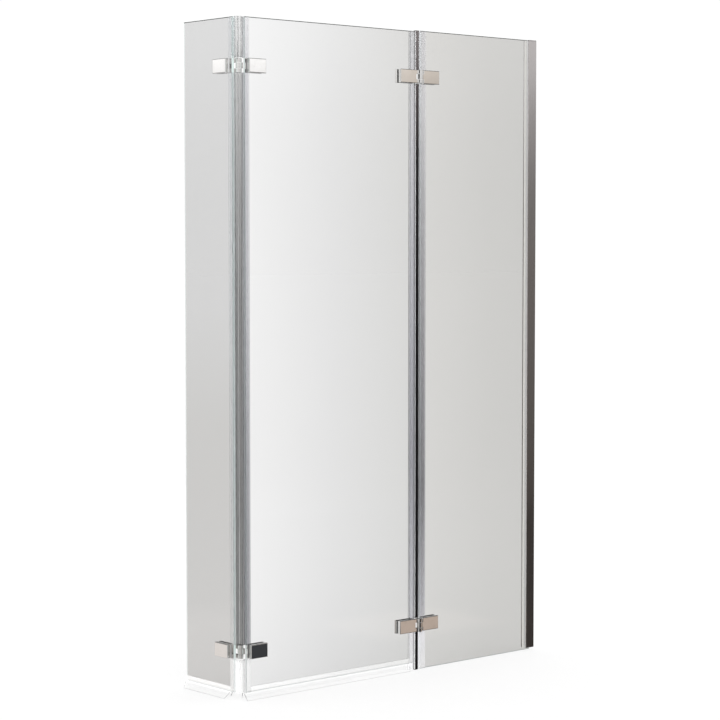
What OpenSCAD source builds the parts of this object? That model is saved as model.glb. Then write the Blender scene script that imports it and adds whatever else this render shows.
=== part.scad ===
// Folding bath screen: a fixed glass panel held in a wall channel, a middle panel that folds
// outwards on two clamp hinges, and a short return panel that folds inwards on two more.
// Frame: +Z up, +X into the wall, -Y towards the room. The origin is the lower end of the
// wall channel's back face, on the centre plane of the fixed and middle glass.

/* [Screen] */
// Height from the bath rim to the top of the fixed glass
screen_h = 1400; // [1000:10:1800]
// Distance from the wall to the free edge of the fixed glass
fixed_reach = 354; // [250:1:600]
// Width of the middle glass
middle_w = 470; // [300:1:700]
// Width of the return glass
return_w = 164; // [110:1:400]
// Thickness of all three panes
glass_t = 6; // [5:0.5:8]
// Distance between the glass edges at the folding seam
seam_gap = 16; // [14:0.5:19]
// Distance from each glass edge to the outer faces that meet at the corner
corner_set = 18; // [17:0.5:22]
// Height by which the moving panes stay below the top of the fixed glass
top_step = 2; // [0:0.5:6]
// Height of the moving panes' lower edges above the bath rim
bottom_gap = 16; // [12:0.5:24]
// Distance of the hinge centres from the rim and from the top of the fixed glass
hinge_inset = 100; // [60:1:250]

/* [Wall channel] */
// Height of the wall channel's lower end above the bath rim
channel_lift = 5; // [1:0.5:20]
// Depth of the wall channel, away from the wall
channel_depth = 25; // [22:0.5:40]
// Outer width of the wall channel, along Y
channel_w = 19; // [17:0.5:26]
// Wall thickness of the channel
channel_wall = 1.5; // [1:0.1:2]
// Wall thickness of the glazing profile inside the channel
profile_wall = 1.3; // [1:0.1:1.8]
// Distance from the channel's back to the glazing profile, taken up when the wall leans
adjust_gap = 3; // [1:0.5:6]
// Gap on each side between the glazing profile and the channel
slide_gap = 0.15; // [0.1:0.05:0.3]
// Distance from the glazing profile's web to the glass edge
edge_gap = 2.5; // [1:0.5:5]
// Thickness of the cap on top of the channel
cap_t = 1.5; // [1:0.1:3]
// Gap between the cap and the glass that passes through it
cap_gap = 0.3; // [0.1:0.05:0.6]
// Diameter of the screw holes in the channel's back
wall_hole_d = 5; // [4:0.5:7]
// Distance from the channel's ends to the outer screw holes
outer_hole_inset = 100; // [40:5:200]
// Distance from the channel's ends to the inner screw holes
inner_hole_inset = 480; // [300:5:490]

/* [Lock screws] */
// Thread diameter of the screws that lock the glazing profile in the channel
lock_d = 4; // [3:0.5:5]
// Head diameter of the lock screws
lock_head_d = 7; // [6:0.5:8]
// Head height of the lock screws
lock_head_h = 2; // [1.5:0.25:3]
// Distance of the lock screws from the channel's mouth
lock_set = 12; // [8:0.5:14]
// Distance of the outer lock screws from the channel's ends
lock_inset = 150; // [80:5:300]
// Radial clearance of the lock screws in the holes of the channel and the profile
lock_clear = 0.1; // [0.05:0.05:0.3]
// Radial and axial space between a lock screw's head and its cap
cap_room = 0.2; // [0.1:0.05:0.5]
// Wall thickness of the lock screw caps
cap_wall = 1; // [0.8:0.1:1.5]

/* [Hinge leaves] */
// Length of the clamp plates at the folding seam
seam_plate_l = 46.5; // [44:0.5:70]
// Length of the clamp plates at the corner
corner_plate_l = 43.5; // [40:0.5:70]
// Height of the clamp plates
plate_h = 29; // [26:0.5:40]
// Thickness of the plates that carry the knuckles
leaf_t = 7; // [6.5:0.25:8.5]
// Thickness of the plates on the other side of the glass
cover_t = 7; // [6.5:0.25:8.5]
// Radius of the rounded edges of the clamp plates
edge_r = 1.2; // [0.6:0.1:2]
// Thickness of the pads between the plates and the glass
pad_t = 0.8; // [0.5:0.1:1.5]
// Distance by which the pads stay inside the plates' outline
pad_margin = 0.8; // [0.4:0.1:2]
// Distance from the hinge axis to the plates at the folding seam
seam_set = 10.5; // [9:0.25:14]
// Distance from the hinge axis to the middle panel's plates at the corner
corner_plate_set = 10.5; // [9:0.25:20]
// Distance from the hinge axis to the return panel's plates
return_plate_set = 15.5; // [9:0.25:24]
// Distance from the hinge axis to the leaves' faces, half the gap between folded leaves
fold_gap = 0.7; // [0.4:0.05:1.5]

/* [Hinge barrels] */
// Outer diameter of the knuckles
barrel_d = 12; // [11:0.25:13.5]
// Height of the middle knuckle
mid_knuckle_h = 11; // [8:0.25:12]
// Chamfer on the ends of the knuckles
knuckle_chamfer = 0.4; // [0.2:0.05:0.6]
// Diameter of the hinge pins
pin_d = 6; // [5:0.25:6.5]
// Radial clearance between a pin and the outer knuckles that hold it
pin_seat = 0.02; // [0.01:0.01:0.05]
// Radial running clearance between a pin and its bushes
pin_run = 0.05; // [0.02:0.01:0.1]
// Wall thickness of the bushes
bush_wall = 1; // [0.8:0.1:1.2]
// Radial clearance between the bushes and the middle knuckle
bush_seat = 0.02; // [0.01:0.01:0.05]
// Thickness of the bushes' flanges between the knuckles
flange_t = 0.5; // [0.4:0.05:0.8]
// Diameter of the bushes' flanges
flange_d = 10.4; // [9.5:0.1:10.8]
// Axial running gap between each flange and the outer knuckle
flange_run = 0.1; // [0.05:0.05:0.2]
// Height of each bush inside the middle knuckle
bush_h = 3.5; // [2.5:0.25:3.75]
// Depth of the pins' ends below the knuckles' ends
pin_recess = 0.3; // [0:0.1:1]

/* [Clamp screws] */
// Thread diameter of the screws that clamp the plates on the glass
clamp_d = 5; // [4:0.25:5.5]
// Head diameter of the countersunk clamp screws
clamp_head_d = 9.2; // [8:0.2:10]
// Distance of the clamp screws from the plates' ends
clamp_inset = 11.5; // [10:0.5:13]
// Depth of the threaded holes in the plain plates
thread_depth = 5; // [4:0.25:5.5]
// Gap between a clamp screw's tip and the end of its threaded hole
tip_gap = 0.2; // [0.1:0.1:1]
// Clearance around the clamp screws in the drilled plates and the pads
clamp_clear = 0.2; // [0.1:0.05:0.4]
// Radial clearance left in the simplified threads and countersinks
thread_clear = 0.03; // [0.02:0.01:0.06]
// Width across corners of the hexagon sockets
socket_d = 3.4; // [3:0.1:3.8]
// Depth of the hexagon sockets
socket_depth = 1.8; // [1:0.1:2.5]
// Diameter of the holes through the glass
glass_hole_d = 12; // [11:0.5:14]
// Clearance between the pads' sleeves and the glass holes
sleeve_clear = 0.15; // [0.1:0.05:0.4]

/* [Upright seals] */
// Wall thickness of the clear seals
seal_wall = 1.2; // [0.8:0.1:1.4]
// Length of the seals' legs over the glass at the folding seam
seam_leg = 15; // [10:0.5:20]
// Length of the seals' legs over the glass at the corner
corner_leg = 11; // [8:0.5:16]
// Width of the hollow lip that carries the black strip in the seam
lip_w = 4.7; // [3.5:0.1:6]
// Gap between mating seals
seal_touch = 0.3; // [0.2:0.05:0.5]
// Distance by which the black strip stays behind the seals' faces
strip_recess = 0.6; // [0.3:0.1:1.2]
// Outer diameter of the hollow bulbs that meet at the corner
bulb_d = 7.2; // [6:0.1:8]
// Wall thickness of the bulbs
bulb_wall = 0.9; // [0.6:0.05:1.2]
// Gap between the seals' cut ends and the clamp plates
cut_gap = 0.5; // [0.2:0.1:2]
// Height of the seam seal's lower end above the bath rim
seam_seal_lift = 2; // [0:0.5:6]

/* [Bottom seals] */
// Height of the bottom seals' legs over the glass
bottom_leg = 11; // [8:0.5:16]
// Distance by which the outer drip fin flares outwards
fin_flare = 6; // [3:0.5:6.5]
// Thickness of the drip fins
fin_t = 1.2; // [0.8:0.1:1.6]
// Distance by which the inner fin flares inwards
inner_flare = 2; // [1:0.5:4]
// Height of the inner fin's tip above the bath rim
inner_fin_lift = 4; // [2:0.5:7]
// Distance by which the middle pane's bottom seal runs past the glass at the corner
middle_overrun = 6; // [2:0.5:8]
// Distance from the return glass edge to the start of its drip fin
return_fin_start = 12; // [6:0.5:20]
// Length of the slanting cut at the return fin's end
return_fin_slant = 13; // [6:0.5:20]
// Length of the slanting cut at the middle fin's end
middle_fin_slant = 4; // [2:0.5:8]

/* [Hidden] */
$fn = 48;

// Small overrun of a cutting shape past the face that it cuts
cut = 1;

// Heights
rim_z = -channel_lift;
top_z = rim_z + screen_h;
pane_top_z = top_z - top_step;
pane_bottom_z = rim_z + bottom_gap;
lower_hinge_z = rim_z + hinge_inset;
upper_hinge_z = top_z - hinge_inset;
channel_top_z = top_z - cap_t;

// Places along X and Y
half_glass = glass_t / 2;
middle_right_x = -fixed_reach - seam_gap;
middle_left_x = middle_right_x - middle_w;
axis_off = half_glass + pad_t + leaf_t + fold_gap;
seam_x = -fixed_reach - seam_gap / 2;
return_centre_x = middle_left_x - corner_set + half_glass;
corner_x = return_centre_x + axis_off;
corner_y = axis_off;

// Distances from the hinge axes to the glass edges, along the panels
seam_edge = seam_gap / 2;
corner_edge = corner_set - half_glass - axis_off;

// Wall channel and glazing profile
profile_half = channel_w / 2 - channel_wall - slide_gap;
profile_back_x = -channel_wall - adjust_gap;
profile_inner_half = profile_half - profile_wall;
fixed_right_x = profile_back_x - profile_wall - edge_gap;
lock_x = -channel_depth + lock_set;
lock_zs = [lock_inset, channel_top_z / 2, channel_top_z - lock_inset];

// Seals
seal_half = half_glass + seal_wall;
bulb_s = -axis_off + sqrt(2) * (bulb_d + seal_touch) / 2;

// Hinges
plate_base = half_glass + pad_t;
knuckle_gap = flange_t + flange_run;
end_knuckle_h = (plate_h - mid_knuckle_h) / 2 - knuckle_gap;
head_depth = (clamp_head_d - clamp_d) / 2;

// Turns the shapes below, drawn for a panel that starts at the hinge axis and runs along +X with
// its inner face towards +Y, to the four hinge sides. z is left as it is.
module on_fixed() {
    translate([seam_x, 0, 0]) children();
}
module on_seam_side() {
    translate([seam_x, 0, 0]) mirror([1, 0, 0]) children();
}
module on_corner_side() {
    translate([corner_x, 0, 0]) children();
}
module on_return() {
    translate([return_centre_x, corner_y, 0]) mirror([1, -1, 0]) children();
}

// A flat box given by its lowest and highest corners
module block(low, high) {
    translate(low) cube(high - low);
}

// Cross-section of a plate w long and t thick, with its two corners at y = t rounded
module rounded_section(w, t, r) {
    square([w, t - r]);
    translate([r, 0]) square([w - 2 * r, t]);
    for (x = [r, w - r])
        translate([x, t - r]) circle(r);
}

// Clamp plate l long, on y = 0 with its rounded face at y = t, centred on z = 0
module plate(l, t) {
    intersection() {
        linear_extrude(plate_h, center = true) rounded_section(l, t, edge_r);
        bar(l, t);
    }
}

// The same section of a plate seen from its end, run along +X for l
module bar(l, t) {
    rotate([90, 0, 90]) linear_extrude(l)
        translate([0, -plate_h / 2]) rotate(90) mirror([0, 1]) rounded_section(plate_h, t, edge_r);
}

// A knuckle of height h from z = 0, round its own axis
module knuckle(h) {
    r = barrel_d / 2;
    c = knuckle_chamfer;
    rotate_extrude() polygon([[0, 0], [r - c, 0], [r, c], [r, h - c], [r - c, h], [0, h]]);
}

// Lower ends and heights of a leaf's knuckles: the middle one, or the two outer ones
function knuckle_spans(middle) = middle
    ? [[-mid_knuckle_h / 2, mid_knuckle_h]]
    : [[-plate_h / 2, end_knuckle_h], [plate_h / 2 - end_knuckle_h, end_knuckle_h]];

// Places of the two clamp screws of a plate l long that starts at distance s from the axis
function clamp_places(s, l) = [s + clamp_inset, s + l - clamp_inset];

// Threaded holes in a plain plate, whose inner side lies on y = 0
module threads(s, l) {
    for (x = clamp_places(s, l))
        translate([x, -cut, 0]) rotate([-90, 0, 0])
            cylinder(h = thread_depth + cut, r = clamp_d / 2 + thread_clear);
}

// Countersunk holes in a drilled plate t thick, whose inner side lies on y = 0
module countersinks(s, l, t) {
    for (x = clamp_places(s, l)) {
        translate([x, -cut, 0]) rotate([-90, 0, 0])
            cylinder(h = t + 2 * cut, r = clamp_d / 2 + clamp_clear);
        translate([x, t - head_depth, 0]) rotate([-90, 0, 0]) cylinder(
            h = head_depth,
            r1 = clamp_d / 2 + thread_clear,
            r2 = clamp_head_d / 2 + thread_clear
        );
        translate([x, t, 0]) rotate([-90, 0, 0])
            cylinder(h = cut, r = clamp_head_d / 2 + thread_clear);
    }
}

// Leaf with its plate from y = plate_base on and its knuckles on the axis at y = axis_off.
// The plate is drilled for screw heads, or has threaded holes.
module leaf(s, l, middle, drilled) {
    bore = middle ? pin_d / 2 + pin_run + bush_wall + bush_seat : pin_d / 2 + pin_seat;
    difference() {
        union() {
            translate([s, plate_base, 0]) plate(l, leaf_t);
            for (span = knuckle_spans(middle)) {
                intersection() {
                    translate([0, plate_base, 0]) bar(s + 2 * edge_r, leaf_t);
                    block(
                        [0, axis_off - barrel_d / 2, span[0]],
                        [s + 2 * edge_r, axis_off, span[0] + span[1]]
                    );
                }
                translate([0, axis_off, span[0]]) knuckle(span[1]);
            }
        }
        translate([0, axis_off, -plate_h]) cylinder(h = 2 * plate_h, r = bore);
        translate([0, plate_base, 0]) {
            if (drilled) countersinks(s, l, leaf_t);
            else threads(s, l);
        }
    }
}

// Plate on the other side of the glass from the leaf, drilled or with threaded holes
module cover(s, l, drilled) {
    translate([0, plate_base, 0]) difference() {
        translate([s, 0, 0]) plate(l, cover_t);
        if (drilled) countersinks(s, l, cover_t);
        else threads(s, l);
    }
}

// Flipped to the outer side of the glass
module outer_side() {
    mirror([0, 1, 0]) children();
}

// Rubber pads on both faces of the glass, with sleeves through its holes on the drilled side
module pads(s, l) {
    sleeve_r = glass_hole_d / 2 - sleeve_clear;
    hole_r = clamp_d / 2 + clamp_clear;
    for (side = [0, 1]) mirror([0, side, 0]) difference() {
        union() {
            block(
                [s + pad_margin, half_glass, -plate_h / 2 + pad_margin],
                [s + l - pad_margin, plate_base, plate_h / 2 - pad_margin]
            );
            if (side == 0) for (x = clamp_places(s, l))
                translate([x, -half_glass, 0]) rotate([-90, 0, 0])
                    cylinder(h = glass_t + pad_t, r = sleeve_r);
        }
        for (x = clamp_places(s, l))
            translate([x, -plate_base - cut, 0]) rotate([-90, 0, 0])
                cylinder(h = 2 * (plate_base + cut), r = hole_r);
    }
}

// Clamp screws whose heads lie flush in a drilled plate t thick on the side +Y
module screws(s, l, t) {
    head_y = plate_base + t;
    tip_y = -plate_base - thread_depth;
    for (x = clamp_places(s, l)) difference() {
        union() {
            translate([x, tip_y + tip_gap, 0]) rotate([-90, 0, 0])
                cylinder(h = head_y - tip_y - tip_gap, r = clamp_d / 2);
            translate([x, head_y - head_depth, 0]) rotate([-90, 0, 0])
                cylinder(h = head_depth, r1 = clamp_d / 2, r2 = clamp_head_d / 2);
        }
        translate([x, head_y - socket_depth, 0]) rotate([-90, 0, 0])
            cylinder(h = socket_depth + cut, d = socket_d, $fn = 6);
    }
}

// Holes through a pane for the clamp screws of a hinge at distance s from its axis
module glass_holes(s, l) {
    for (x = clamp_places(s, l), z = [lower_hinge_z, upper_hinge_z])
        translate([x, -half_glass - cut, z]) rotate([-90, 0, 0])
            cylinder(h = glass_t + 2 * cut, d = glass_hole_d);
}

// Hinge pin with chamfered ends, centred on z = 0
module pin() {
    r = pin_d / 2;
    c = knuckle_chamfer;
    h = plate_h / 2 - pin_recess;
    rotate_extrude() polygon([[0, -h], [r - c, -h], [r, c - h], [r, h - c], [r - c, h], [0, h]]);
}

// Two flanged bushes in a middle knuckle, centred on z = 0
module bushes() {
    bore = pin_d / 2 + pin_run;
    face = mid_knuckle_h / 2;
    for (end = [0, 1]) mirror([0, 0, end]) translate([0, 0, face - bush_h]) difference() {
        union() {
            cylinder(h = bush_h, r = bore + bush_wall);
            translate([0, 0, bush_h]) cylinder(h = flange_t, d = flange_d);
        }
        translate([0, 0, -cut]) cylinder(h = bush_h + flange_t + 2 * cut, r = bore);
    }
}

// Section of the channel that grips a glass edge at distance s from the hinge axis
module grip_section(s, leg) {
    translate([s - seal_wall, -seal_half]) square([seal_wall, 2 * seal_half]);
    for (side = [-1, 1])
        translate([s - seal_wall, side * (half_glass + seal_wall / 2) - seal_wall / 2])
            square([leg + seal_wall, seal_wall]);
}

// Section of the fixed panel's seal, with the hollow lip that carries the black strip
module lip_section() {
    lip_s = seam_edge - seal_wall - lip_w;
    grip_section(seam_edge, seam_leg);
    difference() {
        translate([lip_s, -seal_half]) square([lip_w + seal_wall, 2 * seal_half]);
        translate([lip_s + seal_wall, -half_glass]) square([lip_w - seal_wall, glass_t]);
    }
}

// Section of the black strip between the lip and the moving panel's seal
module strip_section() {
    from_s = seal_wall + seal_touch - seam_edge;
    to_s = seam_edge - seal_wall - lip_w;
    half = seal_half - strip_recess;
    translate([from_s, -half]) square([to_s - from_s, 2 * half]);
}

// Section of a corner seal: its hollow bulb stands on a neck and meets the other bulb on the
// bisector plane of the corner
module bulb_section() {
    grip_section(corner_edge, corner_leg);
    difference() {
        union() {
            translate([bulb_s, 0]) circle(d = bulb_d);
            translate([bulb_s, -seal_wall / 2]) square([corner_edge - bulb_s, seal_wall]);
        }
        translate([bulb_s, 0]) circle(d = bulb_d - 2 * bulb_wall);
    }
}

// Runs of an upright seal from low to high, cut away at both hinges
function seal_run(part, low, high) =
    part == "upper" ? [upper_hinge_z + plate_h / 2 + cut_gap, high]
    : part == "lower" ? [low, lower_hinge_z - plate_h / 2 - cut_gap]
    : [lower_hinge_z + plate_h / 2 + cut_gap, upper_hinge_z - plate_h / 2 - cut_gap];
module upright(run) {
    translate([0, 0, run[0]]) linear_extrude(run[1] - run[0]) children();
}

// Section across a bottom seal, with the glass edge at y = 0 and X as the panel's inner side
module bottom_legs_section() {
    for (side = [-1, 1])
        translate([side * (half_glass + seal_wall / 2) - seal_wall / 2, -seal_wall])
            square([seal_wall, bottom_leg + seal_wall]);
}
module bottom_fins_section() {
    tip = -bottom_gap;
    inner_tip = inner_fin_lift - bottom_gap;
    translate([-seal_half, -seal_wall]) square([2 * seal_half, seal_wall]);
    polygon([
        [-seal_half, 0],
        [-seal_half - fin_flare, tip],
        [-seal_half - fin_flare + fin_t, tip],
        [-seal_half + 2 * fin_t, -seal_wall],
        [-seal_half + 2 * fin_t, 0]
    ]);
    polygon([
        [seal_half, 0],
        [seal_half + inner_flare, inner_tip],
        [seal_half + inner_flare - fin_t, inner_tip],
        [seal_half - 2 * fin_t, -seal_wall],
        [seal_half - 2 * fin_t, 0]
    ]);
}

// Runs a section drawn across a panel along +X from x0 to x1, with its y = 0 at the glass edge
module along(x0, x1) {
    translate([x0, 0, pane_bottom_z]) rotate([90, 0, 90]) linear_extrude(x1 - x0) children();
}

// Bottom seal from leg_from to to_x, whose fins start at fin_from with a slanting cut
module bottom_seal(leg_from, to_x, fin_from, slant) {
    depth = bottom_gap + cut;
    fin_room = seal_half + fin_flare + inner_flare + cut;
    along(leg_from, to_x) bottom_legs_section();
    intersection() {
        along(fin_from, to_x) bottom_fins_section();
        translate([0, fin_room, pane_bottom_z]) rotate([90, 0, 0]) linear_extrude(2 * fin_room)
            polygon([
                [fin_from, cut],
                [fin_from, 0],
                [fin_from + slant * depth / bottom_gap, -depth],
                [to_x, -depth],
                [to_x, cut]
            ]);
    }
}

// Screw that locks the glazing profile, with its axis along Y at the origin
module lock_screw() {
    head_y = channel_w / 2;
    tip_y = profile_inner_half + slide_gap;
    rotate([-90, 0, 0]) {
        translate([0, 0, tip_y]) cylinder(h = head_y - tip_y, d = lock_d);
        difference() {
            translate([0, 0, head_y]) cylinder(h = lock_head_h, d = lock_head_d);
            translate([0, 0, head_y + lock_head_h / 2])
                cylinder(h = lock_head_h, d = lock_d * 0.7, $fn = 4);
        }
    }
}

// ---- Fixed panel and wall channel ----

module wall_channel() {
    half = channel_w / 2;
    color("silver") difference() {
        block([-channel_depth, -half, 0], [0, half, channel_top_z]);
        block(
            [-channel_depth - cut, channel_wall - half, -cut],
            [-channel_wall, half - channel_wall, channel_top_z + cut]
        );
        for (inset = [outer_hole_inset, inner_hole_inset], z = [inset, channel_top_z - inset])
            translate([-channel_wall - cut, 0, z]) rotate([0, 90, 0])
                cylinder(h = channel_wall + 2 * cut, d = wall_hole_d);
        for (z = lock_zs)
            translate([lock_x, half - channel_wall - cut, z]) rotate([-90, 0, 0])
                cylinder(h = channel_wall + 2 * cut, r = lock_d / 2 + lock_clear);
    }
}

module glazing_profile() {
    color("silver") difference() {
        block([-channel_depth, -profile_half, 0], [profile_back_x, profile_half, channel_top_z]);
        block(
            [-channel_depth - cut, -profile_inner_half, -cut],
            [profile_back_x - profile_wall, profile_inner_half, channel_top_z + cut]
        );
        for (z = lock_zs)
            translate([lock_x, profile_inner_half - cut, z]) rotate([-90, 0, 0])
                cylinder(h = profile_wall + 2 * cut, r = lock_d / 2 + lock_clear);
    }
}

module glazing_gaskets() {
    color("dimgray") for (side = [0, 1]) mirror([0, side, 0])
        block(
            [-channel_depth, half_glass, 0],
            [fixed_right_x, profile_inner_half, channel_top_z]
        );
}

module channel_cap() {
    half = channel_w / 2;
    slot_half = half_glass + cap_gap;
    color("silver") difference() {
        block([-channel_depth, -half, channel_top_z], [0, half, top_z]);
        block(
            [-channel_depth - cut, -slot_half, channel_top_z - cut],
            [fixed_right_x + cap_gap, slot_half, top_z + cut]
        );
    }
}

module lock_screws() {
    color("silver") for (z = lock_zs)
        translate([lock_x, 0, z]) lock_screw();
}

module lock_screw_caps() {
    inner_r = lock_head_d / 2 + cap_room;
    inner_h = lock_head_h + cap_room;
    color("silver") for (z = lock_zs)
        translate([lock_x, channel_w / 2, z]) rotate([-90, 0, 0]) difference() {
            union() {
                cylinder(h = inner_h, r = inner_r + cap_wall);
                translate([0, 0, inner_h])
                    cylinder(h = cap_wall, r1 = inner_r + cap_wall, r2 = inner_r);
            }
            translate([0, 0, -cut]) cylinder(h = inner_h + cut, r = inner_r);
        }
}

module fixed_glass() {
    color("lightblue", 0.4) difference() {
        block([-fixed_reach, -half_glass, rim_z], [fixed_right_x, half_glass, top_z]);
        on_fixed() glass_holes(seam_set, seam_plate_l);
    }
}

module fixed_seal(part) {
    color("whitesmoke", 0.6) on_fixed() upright(seal_run(part, rim_z, top_z)) lip_section();
}
module fixed_seal_upper() {
    fixed_seal("upper");
}
module fixed_seal_middle() {
    fixed_seal("middle");
}
module fixed_seal_lower() {
    fixed_seal("lower");
}

module seam_strips() {
    color("black") on_fixed() for (part = ["upper", "middle", "lower"])
        upright(seal_run(part, rim_z, top_z)) strip_section();
}

module fixed_leaf(z) {
    color("gainsboro") on_fixed() translate([0, 0, z])
        outer_side() leaf(seam_set, seam_plate_l, true, false);
}
module fixed_leaf_upper() {
    fixed_leaf(upper_hinge_z);
}
module fixed_leaf_lower() {
    fixed_leaf(lower_hinge_z);
}

module fixed_cover(z) {
    color("gainsboro") on_fixed() translate([0, 0, z]) cover(seam_set, seam_plate_l, true);
}
module fixed_cover_upper() {
    fixed_cover(upper_hinge_z);
}
module fixed_cover_lower() {
    fixed_cover(lower_hinge_z);
}

module fixed_clamp_pads() {
    color("lightgray") for (z = [lower_hinge_z, upper_hinge_z])
        on_fixed() translate([0, 0, z]) pads(seam_set, seam_plate_l);
}

module fixed_clamp_screws() {
    color("silver") for (z = [lower_hinge_z, upper_hinge_z])
        on_fixed() translate([0, 0, z]) screws(seam_set, seam_plate_l, cover_t);
}

module seam_bushes() {
    color("white") for (z = [lower_hinge_z, upper_hinge_z])
        on_fixed() translate([0, -axis_off, z]) bushes();
}

// ---- Middle panel ----

module middle_glass() {
    color("lightblue", 0.4) difference() {
        block(
            [middle_left_x, -half_glass, pane_bottom_z],
            [middle_right_x, half_glass, pane_top_z]
        );
        on_seam_side() glass_holes(seam_set, seam_plate_l);
        on_corner_side() glass_holes(corner_plate_set, corner_plate_l);
    }
}

module seam_seal(part) {
    color("whitesmoke", 0.6) on_seam_side()
        upright(seal_run(part, rim_z + seam_seal_lift, pane_top_z))
            grip_section(seam_edge, seam_leg);
}
module seam_seal_upper() {
    seam_seal("upper");
}
module seam_seal_middle() {
    seam_seal("middle");
}
module seam_seal_lower() {
    seam_seal("lower");
}

module corner_seal(part) {
    color("whitesmoke", 0.6) on_corner_side()
        upright(seal_run(part, pane_bottom_z, pane_top_z)) bulb_section();
}
module corner_seal_upper() {
    corner_seal("upper");
}
module corner_seal_middle() {
    corner_seal("middle");
}
module corner_seal_lower() {
    corner_seal("lower");
}

module middle_bottom_seal() {
    gap = seal_touch;
    color("whitesmoke", 0.6) on_corner_side() bottom_seal(
        corner_edge + corner_leg + gap,
        corner_edge + middle_w - seam_leg - gap,
        corner_edge - middle_overrun,
        middle_fin_slant
    );
}

module seam_leaf(z) {
    color("gainsboro") on_seam_side() translate([0, 0, z])
        outer_side() leaf(seam_set, seam_plate_l, false, false);
}
module seam_leaf_upper() {
    seam_leaf(upper_hinge_z);
}
module seam_leaf_lower() {
    seam_leaf(lower_hinge_z);
}

module seam_cover(z) {
    color("gainsboro") on_seam_side() translate([0, 0, z]) cover(seam_set, seam_plate_l, true);
}
module seam_cover_upper() {
    seam_cover(upper_hinge_z);
}
module seam_cover_lower() {
    seam_cover(lower_hinge_z);
}

module seam_pin(z) {
    color("silver") on_seam_side() translate([0, -axis_off, z]) pin();
}
module seam_pin_upper() {
    seam_pin(upper_hinge_z);
}
module seam_pin_lower() {
    seam_pin(lower_hinge_z);
}

module corner_leaf(z) {
    color("gainsboro") on_corner_side() translate([0, 0, z])
        leaf(corner_plate_set, corner_plate_l, true, true);
}
module corner_leaf_upper() {
    corner_leaf(upper_hinge_z);
}
module corner_leaf_lower() {
    corner_leaf(lower_hinge_z);
}

module corner_cover(z) {
    color("gainsboro") on_corner_side() translate([0, 0, z])
        outer_side() cover(corner_plate_set, corner_plate_l, false);
}
module corner_cover_upper() {
    corner_cover(upper_hinge_z);
}
module corner_cover_lower() {
    corner_cover(lower_hinge_z);
}

module corner_bushes() {
    color("white") for (z = [lower_hinge_z, upper_hinge_z])
        on_corner_side() translate([0, axis_off, z]) bushes();
}

module middle_clamp_pads() {
    color("lightgray") for (z = [lower_hinge_z, upper_hinge_z]) {
        on_seam_side() translate([0, 0, z]) pads(seam_set, seam_plate_l);
        on_corner_side() translate([0, 0, z]) pads(corner_plate_set, corner_plate_l);
    }
}

module middle_clamp_screws() {
    color("silver") for (z = [lower_hinge_z, upper_hinge_z]) {
        on_seam_side() translate([0, 0, z]) screws(seam_set, seam_plate_l, cover_t);
        on_corner_side() translate([0, 0, z]) screws(corner_plate_set, corner_plate_l, leaf_t);
    }
}

// ---- Return panel ----

module return_glass() {
    color("lightblue", 0.4) on_return() difference() {
        block(
            [corner_edge, -half_glass, pane_bottom_z],
            [corner_edge + return_w, half_glass, pane_top_z]
        );
        glass_holes(return_plate_set, corner_plate_l);
    }
}

module return_seal(part) {
    color("whitesmoke", 0.6) on_return()
        upright(seal_run(part, pane_bottom_z, pane_top_z)) bulb_section();
}
module return_seal_upper() {
    return_seal("upper");
}
module return_seal_middle() {
    return_seal("middle");
}
module return_seal_lower() {
    return_seal("lower");
}

module return_bottom_seal() {
    color("whitesmoke", 0.6) on_return() bottom_seal(
        corner_edge + corner_leg + seal_touch,
        corner_edge + return_w,
        corner_edge + return_fin_start,
        return_fin_slant
    );
}

module return_leaf(z) {
    color("gainsboro") on_return() translate([0, 0, z])
        leaf(return_plate_set, corner_plate_l, false, true);
}
module return_leaf_upper() {
    return_leaf(upper_hinge_z);
}
module return_leaf_lower() {
    return_leaf(lower_hinge_z);
}

module return_cover(z) {
    color("gainsboro") on_return() translate([0, 0, z])
        outer_side() cover(return_plate_set, corner_plate_l, false);
}
module return_cover_upper() {
    return_cover(upper_hinge_z);
}
module return_cover_lower() {
    return_cover(lower_hinge_z);
}

module corner_pin(z) {
    color("silver") on_return() translate([0, axis_off, z]) pin();
}
module corner_pin_upper() {
    corner_pin(upper_hinge_z);
}
module corner_pin_lower() {
    corner_pin(lower_hinge_z);
}

module return_clamp_pads() {
    color("lightgray") for (z = [lower_hinge_z, upper_hinge_z])
        on_return() translate([0, 0, z]) pads(return_plate_set, corner_plate_l);
}

module return_clamp_screws() {
    color("silver") for (z = [lower_hinge_z, upper_hinge_z])
        on_return() translate([0, 0, z]) screws(return_plate_set, corner_plate_l, leaf_t);
}

wall_channel();
glazing_profile();
glazing_gaskets();
channel_cap();
lock_screws();
lock_screw_caps();
fixed_glass();
fixed_seal_upper();
fixed_seal_middle();
fixed_seal_lower();
seam_strips();
fixed_leaf_upper();
fixed_leaf_lower();
fixed_cover_upper();
fixed_cover_lower();
fixed_clamp_pads();
fixed_clamp_screws();
seam_bushes();
middle_glass();
seam_seal_upper();
seam_seal_middle();
seam_seal_lower();
corner_seal_upper();
corner_seal_middle();
corner_seal_lower();
middle_bottom_seal();
seam_leaf_upper();
seam_leaf_lower();
seam_cover_upper();
seam_cover_lower();
seam_pin_upper();
seam_pin_lower();
corner_leaf_upper();
corner_leaf_lower();
corner_cover_upper();
corner_cover_lower();
corner_bushes();
middle_clamp_pads();
middle_clamp_screws();
return_glass();
return_seal_upper();
return_seal_middle();
return_seal_lower();
return_bottom_seal();
return_leaf_upper();
return_leaf_lower();
return_cover_upper();
return_cover_lower();
corner_pin_upper();
corner_pin_lower();
return_clamp_pads();
return_clamp_screws();
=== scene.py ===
"""Looks of the folding bath screen: finishes for every CAD node, a white studio and the camera."""

import math

import bmesh
import bpy
from mathutils import Euler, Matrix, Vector
from mathutils.geometry import tessellate_polygon

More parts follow.
